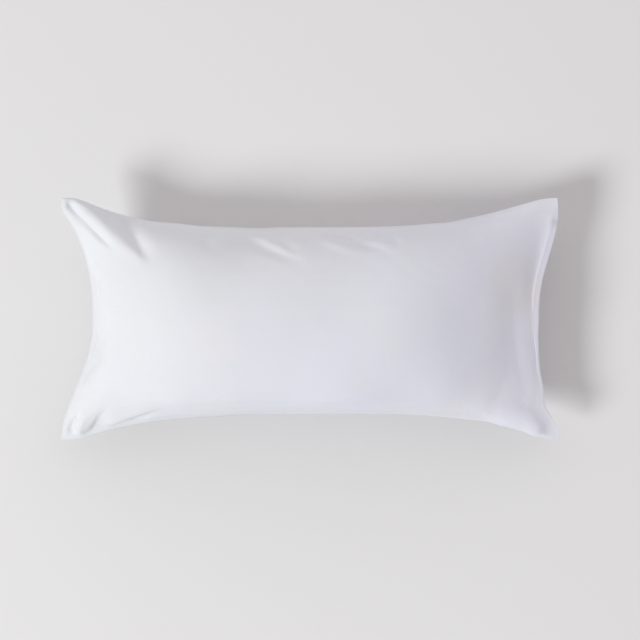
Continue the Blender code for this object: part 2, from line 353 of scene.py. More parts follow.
print("middle of the crown at", np.round(body_points(0.0, 0.0, 1) / MM, 1), "mm")

# %% [markdown]
# ## One grid of cloth for each panel
# The two panels are grids of the same size that share their seam. Outside the filled part come a
# narrow row of pressed seam on three sides, and at the mouth the rows that run along the hem, round
# the lip and back into the slit. The lines stand closer together at the corners, where the folds
# are small.

# %% Grid lines
Band = namedtuple("Band", "end steps")
BANDS_LONG = (Band(-0.60, 96), Band(0.40, 104), Band(0.72, 42), Band(1.0, 42))
BANDS_WIDE = (Band(-0.50, 40), Band(0.25, 40), Band(1.0, 68))

# The pressed seam from its outer edge inwards: share of its width, and share of its thickness.
SEAM_SHARES = np.array([1.0, 0.75, 0.35])
SEAM_THICK = np.array([0.0, 0.80, 0.75])

# The mouth from the filling's end outwards, round the lip, and back into the slit: share of the way
# to the lip's edge, how far back from that edge, and the share of the lip's thickness.
MouthRow = namedtuple("MouthRow", "onward back thick")
MOUTH_ROWS = (
    MouthRow(0.25, 0, 1.0),
    MouthRow(0.50, 0, 1.0),
    MouthRow(0.75, 0, 1.0),
    MouthRow(0.93, 0, 0.97),
    MouthRow(1.0, 0, 0.70),
    MouthRow(1.0, 0, 0.30),
    MouthRow(1.0, 0.8 * MM, 0.05),
    MouthRow(1.0, 5 * MM, 0.0),
    MouthRow(1.0, 13 * MM, 0.15),
)
SLIT_DEPTH = 20 * MM


def grid_lines(bands):
    """The shares of the cloth at which a panel's grid lines run, from -1 to 1."""
    begin = -1.0
    lines = [np.array([begin])]
    for band in bands:
        lines.append(np.linspace(begin, band.end, band.steps + 1)[1:])
        begin = band.end
    return np.concatenate(lines)


LINES_LONG = grid_lines(BANDS_LONG)
LINES_WIDE = grid_lines(BANDS_WIDE)
print("grid:", len(LINES_LONG), "x", len(LINES_WIDE), "points on each filled panel")


def filled_panels():
    """Both filled panels as one array: [side, column, row, xyz], the upper side first."""
    s, t = np.meshgrid(LINES_LONG, LINES_WIDE, indexing="ij")
    return np.stack([body_points(s, t, 1), body_points(s, t, -1)])


SMOOTH = filled_panels()
print("crown", round(float(SMOOTH[..., 2].max()) * 1000, 1), "mm above the surface it lies on")

# %% [markdown]
# ## Lumps and folds
# A pillow that has been slept on has soft swellings and hollows, and where its corners and sides
# are drawn in, the spare cloth stands up in folds. The main ones are listed one by one: each is a
# short path over the cloth with a height and a width on either side, so a fold can have one steep
# flank and one soft one.

# %% Lumps of the filling
Lump = namedtuple("Lump", "x y radius height")
LUMPS = (
    Lump(-300, -10, 90, -6),
    Lump(-160, -40, 110, 7),
    Lump(-220, 88, 68, 7),
    Lump(-90, 100, 70, -6),
    Lump(50, 60, 80, -6),
    Lump(60, -80, 100, 4),
    Lump(150, -10, 70, 4),
    Lump(210, 80, 80, 3),
    Lump(300, -70, 80, -6),
    Lump(215, -110, 55, 5),
)


def lump_relief(lump, x, y):
    """The height of one lump at points in plan, all in millimetres."""
    return lump.height * np.exp(-(((x - lump.x) ** 2 + (y - lump.y) ** 2) / lump.radius**2))


print("lumps and hollows:", len(LUMPS))

# %% [markdown]
# ### Folds that show from above
# A fold follows its path, in millimetres from the middle. Looking along the path, `left` and
# `right` are the widths of its two flanks. A ridge has a height above 0 and a trough one below it.
# Painting them with a sculpting brush is quicker, but a path can be moved by a millimetre and tried
# again.

# %% Folds of the upper panel
Fold = namedtuple("Fold", "path left right height begins ends")
UPPER_FOLDS = (
    # The far closed corner: a narrow valley beside the ear, a sharp crest, and its foot.
    Fold([(-383, 185), (-367, 165), (-351, 149), (-332, 132), (-311, 115), (-299, 107)],
         8, 5, -5.4, 0.1, 0.4),
    Fold([(-378, 188), (-352, 172), (-331, 154), (-315, 136), (-288, 112), (-264, 96), (-245, 84)],
         12, 13, 5.8, 0.2, 0.4),
    Fold([(-306, 163), (-291, 147), (-280, 132), (-267, 114), (-250, 95), (-239, 83)],
         15, 7, -4.6, 0.3, 0.3),
    Fold([(-276, 146), (-260, 130), (-242, 110), (-228, 94)], 18, 9, 1.4, 0.4, 0.5),
    # A shallow hollow along the closed seam.
    Fold([(-364, 112), (-346, 60), (-341, 0), (-344, -60), (-364, -120)], 17, 9, -5.5, 0.3, 0.3),
    # The filling pushes the cloth out beside the near seam, and the mouth's end runs out into a hollow.
    Fold([(-300, -122), (-200, -120), (-100, -116), (0, -116), (100, -116), (170, -120)],
         30, 14, 6.5, 0.25, 0.3),
    Fold([(334, -120), (318, -70), (313, 0), (316, 50), (328, 105)], 23, 20, -1.8, 0.35, 0.35),
    # Along the far seam: soft hollows, and two groups of short slanting folds.
    Fold([(-162, 132), (-157, 104)], 12, 14, -2.2, 0.4, 0.5),
    Fold([(-138, 137), (-116, 135), (-95, 128), (-60, 111), (-27, 96), (-2, 86)], 5, 11, -2.8, 0.3, 0.4),
    Fold([(-98, 142), (-85, 135), (-52, 120), (-22, 106)], 8, 5, 1.3, 0.4, 0.4),
    Fold([(-69, 131), (-40, 119), (-14, 103)], 7, 7, -1.6, 0.4, 0.4),
    Fold([(6, 138), (31, 134), (62, 125), (85, 117), (108, 110), (130, 103)], 6, 5, -1.9, 0.3, 0.4),
    Fold([(10, 129), (31, 120), (62, 109), (108, 97)], 6, 7, 1.6, 0.4, 0.5),
    Fold([(88, 128), (114, 115), (136, 105)], 7, 5, 0.6, 0.4, 0.4),
    Fold([(-60, 141), (30, 140), (90, 140), (150, 141)], 5, 6, 3.4, 0.3, 0.3),
    Fold([(-30, 131), (30, 130), (90, 129), (140, 130)], 5, 6, -1.2, 0.3, 0.3),
    Fold([(100, 137), (124, 127), (144, 113)], 6, 6, -2.0, 0.4, 0.4),
    # The near closed corner: short folds that run into the ear, and a fold that stands along the seam.
    Fold([(-365, -148), (-377, -163), (-381, -174), (-376, -183)], 4, 4, -4.0, 0.3, 0.2),
    Fold([(-343, -139), (-359, -161), (-369, -185)], 6, 9, 2.4, 0.7, 0.2),
    Fold([(-311, -133), (-321, -143), (-330, -154), (-337, -166), (-345, -178), (-356, -190)],
         22, 6, -5.2, 0.7, 0.1),
    Fold([(-225, -128), (-274, -150), (-309, -164), (-334, -177)], 5, 16, 3.4, 0.4, 0.3),
    Fold([(-236, -142), (-279, -159), (-306, -170), (-333, -182)], 5, 5, -4.0, 0.4, 0.2),
    # A broad ridge runs beside the near seam into the mouth's corner.
    Fold([(215, -130), (270, -142), (320, -162), (380, -186)], 30, 9, 7.0, 0.5, 0.15),
)
print("folds above:", len(UPPER_FOLDS))

# %% [markdown]
# ### Folds underneath
# The under panel is pulled at its corners in the same way. It is flat where it rests, and no fold
# shows there.

# %% Folds of the under panel
UNDER_FOLDS = (
    Fold([(-378, 180), (-336, 134), (-296, 92)], 9, 11, -4.0, 0.2, 0.5),
    Fold([(-352, 186), (-300, 146), (-262, 112)], 8, 9, 3.0, 0.3, 0.5),
    Fold([(-378, -180), (-340, -138), (-306, -100)], 9, 11, -3.5, 0.2, 0.5),
    Fold([(-340, -184), (-296, -150), (-262, -120)], 8, 9, 2.6, 0.3, 0.5),
    Fold([(376, 178), (336, 140), (296, 104)], 8, 11, -3.0, 0.2, 0.5),
    Fold([(376, -180), (338, -138), (302, -96)], 8, 11, -3.5, 0.2, 0.5),
    Fold([(340, -184), (300, -148), (268, -122)], 8, 9, 2.6, 0.3, 0.5),
)
print("folds below:", len(UNDER_FOLDS))

# %% [markdown]
# ### The height of a fold
# For each point of the cloth the nearest place on the fold's path is found. The fold is highest
# there and falls away on both sides like a bell. It rises and fades over its first and last part,
# so that it runs out into the smooth cloth.

# %% The height of a fold
PATH_OVERRUN = 0.02


def fold_relief(fold, x, y):
    """The height of one fold at points in plan, all in millimetres."""
    path = np.array(fold.path, float)
    lengths = np.hypot(*np.diff(path, axis=0).T)
    starts = np.concatenate([[0], np.cumsum(lengths)])
    nearest = np.full(x.shape, np.inf)
    across = np.zeros(x.shape)
    along = np.zeros(x.shape)
    for begin, end, length, start in zip(path, path[1:], lengths, starts):
        way = (end - begin) / length
        run = np.clip((x - begin[0]) * way[0] + (y - begin[1]) * way[1], 0, length)
        off_x, off_y = x - begin[0] - run * way[0], y - begin[1] - run * way[1]
        away = np.hypot(off_x, off_y)
        closer = away < nearest
        nearest = np.where(closer, away, nearest)
        across = np.where(closer, np.sign(way[0] * off_y - way[1] * off_x), across)
        along = np.where(closer, (start + run) / starts[-1], along)
    width = np.where(across > 0, fold.left, fold.right)
    rise = smooth_step((along + PATH_OVERRUN) / fold.begins)
    fade = smooth_step((1 + PATH_OVERRUN - along) / fold.ends)
    return fold.height * rise * fade * np.exp(-((nearest / width) ** 2))


# Cloth lower than this rests on the surface and stays flat.
RESTING_BELOW = 1 * MM


def relief(points, folds, lumps):
    """How far the cloth stands out of its smooth filled form, in metres."""
    x, y = points[..., 0] / MM, points[..., 1] / MM
    total = sum(fold_relief(fold, x, y) for fold in folds)
    total = total + sum(lump_relief(lump, x, y) for lump in lumps)
    return np.where(points[..., 2] > RESTING_BELOW, total * MM, 0)


highest = max(float(relief(SMOOTH[0], [fold], ()).max()) for fold in UPPER_FOLDS)
print("the highest ridge stands", round(highest * 1000, 1), "mm out of the cloth")

# %% [markdown]
# ### Gathers and unevenness
# Beside a seam its thread gathers the cloth into fine puckers, and the whole panel is a little
# uneven. Placing these by hand would take hundreds of paths. Smooth noise gives them all, and it is
# the same on every run.

# %% Gathers beside the seams
GATHER_HEIGHT = 0.7 * MM
GATHER_LENGTH = 15 * MM
GATHER_REACH = 20 * MM
GATHER_SLANT = 0.5
UNEVEN_WAVES = ((55 * MM, 0.5 * MM), (150 * MM, 1.5 * MM))

# Far enough apart in the noise that no two seams get the same puckers.
SIDES_APART = 3
ENDS_APART = 5


def gathers(s, t, side):
    """The height of the puckers beside the seams, for one point of a panel."""
    to_long_seam, to_end = (1 - abs(t)) * HALF_WIDTH, (1 - abs(s)) * HALF_LENGTH
    along_x = (s * HALF_LENGTH + GATHER_SLANT * to_long_seam) / GATHER_LENGTH
    along_y = (t * HALF_WIDTH + GATHER_SLANT * to_end) / GATHER_LENGTH
    by_seam = noise.noise(Vector((along_x, SIDES_APART * np.sign(t), side)))
    by_end = noise.noise(Vector((along_y, SIDES_APART * np.sign(s), side + ENDS_APART)))
    by_seam *= np.exp(-to_long_seam / GATHER_REACH)
    by_end *= np.exp(-to_end / GATHER_REACH)
    return GATHER_HEIGHT * (by_seam + by_end)


def unevenness(place):
    """The height of the wide, shallow waves at one place."""
    return sum(height * noise.noise(Vector(place) / length) for length, height in UNEVEN_WAVES)


def fine_relief(points, s, t, side):
    """Gathers and unevenness of every grid point of a panel, in metres."""
    found = [
        gathers(a, b, side) + unevenness(place)
        for a, b, place in zip(s.ravel(), t.ravel(), points.reshape(-1, 3))
    ]
    return np.where(points[..., 2] > RESTING_BELOW, np.reshape(found, s.shape), 0)


print(f"gathers {GATHER_HEIGHT * 1000:.1f} mm high and about {GATHER_LENGTH * 1000:.0f} mm apart")

# %% [markdown]
# ### Raise the folds
# Everything is moved along the cloth's own normals, as a displacement does, but in arrays, where
# each part can fade out before it reaches the seam. Behind the hem the cloth stands steeply, so a
# fold that moved along the normal would make a shelf there. It lifts the cloth straight up instead.

# %% Raise the folds
SEAM_FADE = 0.025
MOUTH_FADE = 0.09
UPRIGHT_FROM = 0.75
UPRIGHT_OVER = 0.2
SMALLEST_NORMAL = 1e-12


def grid_normals(points, side):
    """The outward normals of one panel's grid points."""
    along = np.gradient(points, axis=0)
    across = np.gradient(points, axis=1)
    normals = np.cross(along, across) * side
    return normals / np.maximum(np.linalg.norm(normals, axis=-1, keepdims=True), SMALLEST_NORMAL)


def edge_fade(s, t, over_mouth):
    """0 on the seam and 1 a little inside it, so that the seam itself stays where it is."""
    at_mouth = smooth_step((1 - in_plan(s, t, CROWN.sides)) / over_mouth)
    return at_mouth * smooth_step((1 + s) / SEAM_FADE) * smooth_step((1 - np.abs(t)) / SEAM_FADE)


def crease(panel, side, folds, lumps):
    """One panel with its folds, lumps, gathers and unevenness raised."""
    s, t = np.meshgrid(LINES_LONG, LINES_WIDE, indexing="ij")
    out = relief(panel, folds, lumps) + fine_relief(panel, s, t, side)
    upright = smooth_step((s - UPRIGHT_FROM) / UPRIGHT_OVER)[..., None]
    outward = grid_normals(panel, side) * (1 - upright) + np.array([0, 0, side]) * upright
    return panel + outward * (out * edge_fade(s, t, MOUTH_FADE))[..., None]


FILLED = np.stack([crease(SMOOTH[0], 1, UPPER_FOLDS, LUMPS), crease(SMOOTH[1], -1, UNDER_FOLDS, ())])
print("crown", round(float(FILLED[..., 2].max()) * 1000, 1), "mm up with its lumps and folds")

# %% [markdown]
# ## Let the cloth settle
# The case was cut 80 x 40 cm, but the seam and the dome that it now lies on are shorter than that
# in some places, so there is spare cloth. A short cloth simulation finds where it goes: the flat
# cut is the rest shape, a little pressure stands for the filling, and the seam is held. First every
# point needs its place on the flat cut. It is found by measuring along the grid lines, over the
# cloth.

# %% Lay each point on the flat cut
def share_along(panel, axis):
    """How far along its grid line each point lies, measured over the cloth, from 0 to 1."""
    steps = np.linalg.norm(np.diff(panel, axis=axis), axis=-1)
    run = np.insert(np.cumsum(steps, axis=axis), 0, 0, axis=axis)
    return run / np.take(run, [-1], axis=axis)


def flat_cut(panel):
    """Where each grid point lies on the cut cloth, laid flat."""
    return share_along(panel, 0) * FLAT_LENGTH, share_along(panel, 1) * FLAT_WIDTH


middle_line = share_along(FILLED[0], 0)[len(LINES_LONG) // 2]
print("the middle grid line lies", round(float(middle_line.mean()), 2), "of the way along the cloth")

# %% [markdown]
# ### The mesh that settles
# The simulation needs one closed mesh, or its pressure would have nothing to push against. Both
# panels are joined all round by a strip of quads. The under panel's quads are turned over, so all
# of them face out.

# %% Faces for the settling
def four_corners(grid):
    """The values at the four corners of every cell of a grid, in order round the cell."""
    return np.stack([grid[:-1, :-1], grid[1:, :-1], grid[1:, 1:], grid[:-1, 1:]], axis=-1).reshape(-1, 4)


def settle_faces(columns, rows):
    """Quads of both panels and of the strip that joins them all round."""
    upper, under = np.arange(2 * columns * rows).reshape(2, columns, rows)
    faces = four_corners(upper).tolist() + four_corners(under)[:, ::-1].tolist()
    ring = [(c, 0) for c in range(columns)] + [(columns - 1, r) for r in range(1, rows)]
    ring += [(c, rows - 1) for c in range(columns - 2, -1, -1)]
    ring += [(0, r) for r in range(rows - 2, 0, -1)]
    for here, there in zip(ring, ring[1:] + ring[:1]):
        faces.append([int(n) for n in (under[here], under[there], upper[there], upper[here])])
    return faces


print("two panels of 3 x 3 points have", len(settle_faces(3, 3)), "faces")

# %% [markdown]
# ### Settling
# The seam and the resting underside are held firmly, and the rest of the cloth softly, so it can
# only shift by a few millimetres. Gravity is left out: the filling carries the cloth. Nothing here
# is random, and the mesh that settled is deleted again, so nothing moves when the file is played.

# %% Settle the cloth
SETTLE_FRAMES = 18
SETTLE_PRESSURE = 3.0
HELD_SOFTLY = 0.05


def settled(panels):
    """How far each point of the panels moves as the cloth settles."""
    sides, columns, rows, _ = panels.shape
    places = panels.reshape(-1, 3)
    data = bpy.data.meshes.new("settling")
    data.from_pydata(places, [], settle_faces(columns, rows))
    settling = bpy.data.objects.new("settling", data)
    bpy.context.scene.collection.objects.link(settling)
    settling.shape_key_add(name="filled")
    flat = settling.shape_key_add(name="flat")
    cut = panels.copy()
    for side in (0, 1):
        along, across = flat_cut(panels[side])
        cut[side, ..., 0], cut[side, ..., 1] = along - FLAT_LENGTH / 2, across - FLAT_WIDTH / 2
        cut[side, ..., 2] = SEAM_HALF_THICKNESS * (1 - 2 * side)
    flat.data.foreach_set("co", cut.ravel())
    flat.value = 0

    rim = np.zeros((sides, columns, rows), bool)
    rim[:, [0, -1], :] = True
    rim[:, :, [0, -1]] = True
    firm = (rim | (panels[..., 2] < RESTING_BELOW)).ravel()
    held = settling.vertex_groups.new(name="held")
    held.add(np.flatnonzero(firm).tolist(), 1.0, "REPLACE")
    held.add(np.flatnonzero(~firm).tolist(), HELD_SOFTLY, "REPLACE")

    cloth = settling.modifiers.new("cloth", "CLOTH")
    cloth.settings.rest_shape_key = flat
    cloth.settings.vertex_group_mass = "held"
    cloth.settings.quality = 6
    cloth.settings.mass = 0.05
    cloth.settings.tension_stiffness = 40
    cloth.settings.compression_stiffness = 40
    cloth.settings.shear_stiffness = 8
    cloth.settings.bending_stiffness = 2
    cloth.settings.use_pressure = True
    cloth.settings.uniform_pressure_force = SETTLE_PRESSURE
    cloth.settings.effector_weights.gravity = 0
    cloth.collision_settings.use_collision = False
    cloth.point_cache.frame_end = SETTLE_FRAMES
    for frame_number in range(1, SETTLE_FRAMES + 1):
        bpy.context.scene.frame_set(frame_number)
    evaluated = settling.evaluated_get(bpy.context.evaluated_depsgraph_get()).data
    after = np.empty(len(places) * 3, np.float32)
    evaluated.vertices.foreach_get("co", after)
    bpy.context.scene.frame_set(1)
    bpy.data.objects.remove(settling)
    return after.reshape(panels.shape) - panels


print("the cloth will settle for", SETTLE_FRAMES, "frames")

# %% [markdown]
# ### Keep only the puckers
# The simulated case also swells and shrinks as a whole. That part is found by smoothing the
# movement, and is taken away again, so the case keeps its measured form and gains only the puckers.
# The settling runs on every fourth grid line, to be quick, and its result is spread over all of
# them.

# %% Keep the puckers
SMOOTHING_PASSES = 26
DOUBLINGS = 2
MOST_MOVED = 7 * MM
PUCKER_FADE = 0.3
STILL = 1e-9


def smoothed(field):
    """A panel's field with only its widest waves left."""
    for _ in range(SMOOTHING_PASSES):
        padded = np.pad(field, ((0, 0), (1, 1), (0, 0), (0, 0)), mode="edge")
        field = (padded[:, :-2] + 2 * padded[:, 1:-1] + padded[:, 2:]) / 4
        padded = np.pad(field, ((0, 0), (0, 0), (1, 1), (0, 0)), mode="edge")
        field = (padded[:, :, :-2] + 2 * padded[:, :, 1:-1] + padded[:, :, 2:]) / 4
    return field


def between_lines(field, axis):
    """The field on twice as many grid lines, the new ones on a smooth curve through the old ones."""
    field = np.moveaxis(field, axis, 0)
    padded = np.pad(field, ((1, 1),) + ((0, 0),) * (field.ndim - 1), mode="edge")
    # Halfway along a cubic curve: nine sixteenths of each neighbour, less a sixteenth of the next ones.
    middle = (9 * (padded[1:-2] + padded[2:-1]) - padded[:-3] - padded[3:]) / 16
    finer = np.empty((2 * len(field) - 1,) + field.shape[1:])
    finer[::2], finer[1::2] = field, middle
    return np.moveaxis(finer, 0, axis)


def puckers_from_settling(panels):
    """How far the puckers move each point of the panels."""
    every = 2**DOUBLINGS
    moved = settled(panels[:, ::every, ::every])
    puckers = moved - smoothed(moved)
    far = np.linalg.norm(puckers, axis=-1, keepdims=True)
    print(f"puckers up to {far.max() * 1000:.1f} mm, typically {far.mean() * 1000:.2f} mm")
    puckers *= np.minimum(1, MOST_MOVED / np.maximum(far, STILL))
    for _ in range(DOUBLINGS):
        puckers = between_lines(between_lines(puckers, 1), 2)
    return puckers


s_lines, t_lines = np.meshgrid(LINES_LONG, LINES_WIDE, indexing="ij")
fade = edge_fade(s_lines, t_lines, PUCKER_FADE)
FILLED = FILLED + puckers_from_settling(FILLED) * fade[..., None]
on_floor = SMOOTH[..., 2] < RESTING_BELOW
FILLED[on_floor] = SMOOTH[on_floor]

# %% [markdown]
# ## The seam and the hem round the filled cloth
# The seam is on the inside of a pillowcase, so outside there is only a narrow pressed ridge. It is
# made from three more rows round each panel. A separate tube along the seam would look like piping.

# %% Add the seam
SEAM_ROWS = len(SEAM_SHARES)
ROW_T = np.concatenate([np.full(SEAM_ROWS, -1.0), LINES_WIDE, np.full(SEAM_ROWS, 1.0)])
ROW_OUT = np.concatenate([-SEAM_SHARES, np.zeros(len(LINES_WIDE)), SEAM_SHARES[::-1]])
ROW_THICK = np.concatenate([SEAM_THICK, np.ones(len(LINES_WIDE)), SEAM_THICK[::-1]])
COLUMN_S = np.concatenate([np.full(SEAM_ROWS, -1.0), LINES_LONG])
COLUMN_OUT = np.concatenate([SEAM_SHARES, np.zeros(len(LINES_LONG))])
COLUMN_THICK = np.concatenate([SEAM_THICK, np.ones(len(LINES_LONG))])


def with_seam(filled, side):
    """One filled panel with its rows of pressed seam on three sides."""
    points = np.pad(filled, ((SEAM_ROWS, 0), (SEAM_ROWS, SEAM_ROWS), (0, 0)), mode="edge")
    points[..., 0] -= SEAM_WIDTH * COLUMN_OUT[:, None]
    s, t = np.meshgrid(COLUMN_S, ROW_T, indexing="ij")
    points[..., 1] += SEAM_WIDTH * ROW_OUT
    thick = np.minimum(COLUMN_THICK[:, None], ROW_THICK)
    pressed = seam_height(s, t) + side * SEAM_HALF_THICKNESS * thick
    pressed -= SEAM_DROOP * np.abs(ROW_OUT) * (1 - np.abs(s) ** DROOP_GATHER)
    points[..., 2] = np.where(thick < 1, pressed, points[..., 2])
    return points


print(f"pressed seam {SEAM_WIDTH * 1000:.0f} mm wide, {SEAM_HALF_THICKNESS * 2000:.1f} mm thick")

# %% [markdown]
# ### The hem and its lip
# At the mouth more rows run on along the flat hem, round the soft lip, and back between the lips,
# where they end in the dark. So the slit is a real one, and light falls into it as it does into
# cloth. Near its far end the hem is tucked down a little, where the filling has left it.

# %% Add the mouth
def mouth_columns(panel, side):
    """The hem and lip of one panel, from the filling's end to the bottom of the slit."""
    last = panel[-1]
    edge_x = mouth_x(ROW_T)
    opened = mouth_open(ROW_T)
    gap = LIP_GAP / 2 * opened
    half = mouth_half_thickness(ROW_T) * ROW_THICK
    tuck = TUCK_DEPTH * np.exp(-(((ROW_T - TUCK_AT) / TUCK_WIDTH) ** 2))
    columns = []
    for row in MOUTH_ROWS:
        column = last.copy()
        column[:, 0] += (edge_x - last[:, 0]) * row.onward - row.back * opened
        rise = hem_rise(ROW_T) * (1 - row.onward) * ROW_THICK
        column[:, 2] = seam_height(1, ROW_T) + side * (gap + (half - gap) * row.thick + rise)
        column[:, 2] -= tuck * row.onward
        columns.append(column)
    bottom = last.copy()
    bottom[:, 0] = edge_x - SLIT_DEPTH * opened
    bottom[:, 2] = seam_height(1, ROW_T) - tuck
    return np.stack(columns + [bottom])


def whole_panel(filled, side):
    """One panel with its seam, hem and lip."""
    panel = with_seam(filled, side)
    return np.concatenate([panel, mouth_columns(panel, side)])


PANELS = np.stack([whole_panel(FILLED[0], 1), whole_panel(FILLED[1], -1)])
print("points on each whole panel:", PANELS.shape[1], "x", PANELS.shape[2])

# %% [markdown]
# ## One closed mesh
# Points of the two panels that share a place become one vertex, which is the sewing. The cloth gets
# a map laid out in metres, upper panel beside under panel, so that a thread in the material is as
# thick as a real one. Unwrapping by Blender would give a map too, but not one that follows the
# threads.

# %% Sew the panels into one mesh
WELD = 0.01 * MM
MAP_MARGIN = 0.05
MAP_PANEL_GAP = 0.45


def sew(panels):
    """One mesh from both panels, with a map of the cloth in metres."""
    sides, columns, rows, _ = panels.shape
    places = panels.reshape(-1, 3)
    cells = np.round(places / WELD).astype(np.int64)
    _, first, sewn = np.unique(cells, axis=0, return_index=True, return_inverse=True)
    number = sewn.reshape(sides, columns, rows)
    faces, cloth_map = [], []
    for side in range(sides):
        along, across = flat_cut(panels[side])
        for quad, us, vs in zip(four_corners(number[side]), four_corners(along), four_corners(across)):
            ring = [(int(q), a, b) for q, a, b in zip(quad, us, vs)]
            if side == 1:
                ring.reverse()
            kept = [c for n, c in enumerate(ring) if c[0] != ring[n - 1][0]]
            if len({c[0] for c in kept}) == len(kept) >= 3:
                faces.append([c[0] for c in kept])
                cloth_map += [(MAP_MARGIN + a, MAP_MARGIN + side * MAP_PANEL_GAP + b) for _, a, b in kept]
    data = bpy.data.meshes.new("filled_pillowcase")
    data.from_pydata(places[first], [], faces)
    layer = data.uv_layers.new(name="cloth")
    layer.uv.foreach_set("vector", np.array(cloth_map, np.float32).ravel())
    data.shade_smooth()
    data.validate()
    return data


case = bpy.data.objects.new("filled_pillowcase", sew(PANELS))
bpy.context.scene.collection.objects.link(case)
case.data.calc_loop_triangles()
print(case.name, len(case.data.vertices), "vertices,", len(case.data.loop_triangles), "triangles")

# %% [markdown]
# ## The hem's stitching
# The mouth is turned under and held down by one row of lockstitch, in thread of the cloth's own
# white. The row lies one hem's width back from the lip, measured along the cloth. A dashed line in
# the material would be cheaper, but it would have no edge to catch the light when the mouth is seen
# from close by.

# %% Find the line of the stitching
HEM_WIDTH = 10 * MM
STITCHED_SHARE = 0.90
LIP_EDGE_COLUMN = len(COLUMN_S) + [row.onward for row in MOUTH_ROWS].index(1.0)


def hem_line(panel, side):
    """Places and normals along the cloth, one hem's width back from the lip."""
    cloth = panel[: LIP_EDGE_COLUMN + 1][::-1]
    normals = grid_normals(panel, side)[: LIP_EDGE_COLUMN + 1][::-1]
    steps = np.linalg.norm(np.diff(cloth, axis=0), axis=-1)
    from_lip = np.insert(np.cumsum(steps, axis=0), 0, 0, axis=0)
    rows = np.flatnonzero(np.abs(ROW_T) < STITCHED_SHARE)

    def on_line(values):
        places = [[np.interp(HEM_WIDTH, from_lip[:, r], values[:, r, k]) for k in range(3)] for r in rows]
        return np.array(places)

    return on_line(cloth), on_line(normals)


HEM_LINES = (hem_line(PANELS[0], 1), hem_line(PANELS[1], -1))
print("points on each line of stitching:", len(HEM_LINES[0][0]))

# %% [markdown]
# ### The stitches
# Each stitch is a short length of thread, a six-sided tube of rings that dips into the cloth at
# both ends. All of them are worked out at once as arrays, and joined into one mesh, because
# hundreds of separate objects would be slow and of no use to anyone.

# %% Sew the hem
STITCH_LENGTH = 2.5 * MM
STITCH_SPACING = 3.0 * MM
THREAD_WIDTH = 0.55 * MM
STITCH_SIDES = 6

# One stitch from end to end: how far along, how thick, and how high it stands off the cloth.
StitchRing = namedtuple("StitchRing", "along thick raised")
STITCH_RINGS = (
    StitchRing(-1.0, 0.35, -0.45),
    StitchRing(-0.8, 0.85, 0.15),
    StitchRing(-0.3, 1.0, 0.45),
    StitchRing(0.3, 1.0, 0.45),
    StitchRing(0.8, 0.85, 0.15),
    StitchRing(1.0, 0.35, -0.45),
)


def unit(vectors):
    return vectors / np.linalg.norm(vectors, axis=-1, keepdims=True)


def stitch_points(line, normals):
    """All stitches along one line: [stitch, ring, corner, xyz]."""
    run = np.insert(np.cumsum(np.linalg.norm(np.diff(line, axis=0), axis=-1)), 0, 0)
    middles = np.arange(STITCH_SPACING, run[-1] - STITCH_SPACING, STITCH_SPACING)

    def at(where, values):
        return np.stack([np.interp(where, run, values[:, k]) for k in range(3)], axis=-1)

    way = unit(at(middles + STITCH_LENGTH / 2, line) - at(middles - STITCH_LENGTH / 2, line))
    up = unit(at(middles, normals))
    beside = unit(np.cross(way, up))
    turn = np.arange(STITCH_SIDES) * 2 * np.pi / STITCH_SIDES
    rings = []
    for ring in STITCH_RINGS:
        centre = at(middles, line) + way * ring.along * STITCH_LENGTH / 2
        centre = centre + up * ring.raised * THREAD_WIDTH
        radius = ring.thick * THREAD_WIDTH / 2
        around = beside[:, None] * np.cos(turn)[:, None] + up[:, None] * np.sin(turn)[:, None]
        rings.append(centre[:, None] + radius * around)
    return np.stack(rings, axis=1)


def stitching():
    """Both hems' stitches as one mesh."""
    stitches = np.concatenate([stitch_points(*line) for line in HEM_LINES])
    count, rings, sides, _ = stitches.shape
    number = np.arange(count * rings * sides).reshape(count, rings, sides)
    after = np.roll(number, -1, axis=2)
    walls = np.stack([number[:, :-1], after[:, :-1], after[:, 1:], number[:, 1:]], axis=-1).reshape(-1, 4)
    ends = np.concatenate([number[:, 0, ::-1], number[:, -1]])
    data = bpy.data.meshes.new("hem_stitching")
    data.from_pydata(stitches.reshape(-1, 3), [], walls.tolist() + ends.tolist())
    data.shade_smooth()
    data.validate()
    print("hem_stitching:", count, "stitches")
    return data


hem_stitching = bpy.data.objects.new("hem_stitching", stitching())
bpy.context.scene.collection.objects.link(hem_stitching)

# %% [markdown]
# ## White cotton
# Plain-woven cotton is matt, a little bluish where it has been washed with brightener, and never
# quite even: threads vary, and the cloth holds faint crinkles. The weave and the crinkles are
# shallow bumps in the shader, because a thread is under half a millimetre thick. Everything bigger
# is in the mesh. The nodes could be placed by hand in the editor. A helper that adds one node and
# its links keeps the recipe short.

# %% A helper for material nodes
def add_node(tree, kind, inputs, **settings):
    """A new node. Each input is set to a value, or linked where the value is another node's socket."""
    made = tree.nodes.new("ShaderNode" + kind)
    for name, value in settings.items():
        setattr(made, name, value)
    for name, value in inputs.items():
        if isinstance(value, bpy.types.NodeSocket):
            tree.links.new(value, made.inputs[name])
        else:
            made.inputs[name].default_value = value
    return made


# %% [markdown]
# ### The weave
# In a plain weave each thread goes over one and under the next, so the surface is a chequer of
# small swellings. Two sets of waves multiplied together give just that. A wave texture repeats
# every 2 pi / (20 x scale), so the scale follows from the distance between threads. Some threads
# are thicker than others: noise that is stretched along the threads gives these slubs.

# %% Threads, slubs and crinkles
THREAD_PITCH = 0.45 * MM
WAVES_PER_SCALE = 20
WEAVE_DEPTH = 0.05 * MM
SLUB_LENGTH = 30 * MM
SLUB_WIDTH = 0.9 * MM
SLUB_DEPTH = 0.06 * MM
CRINKLE_LENGTH = 22 * MM
CRINKLE_DEPTH = 0.35 * MM


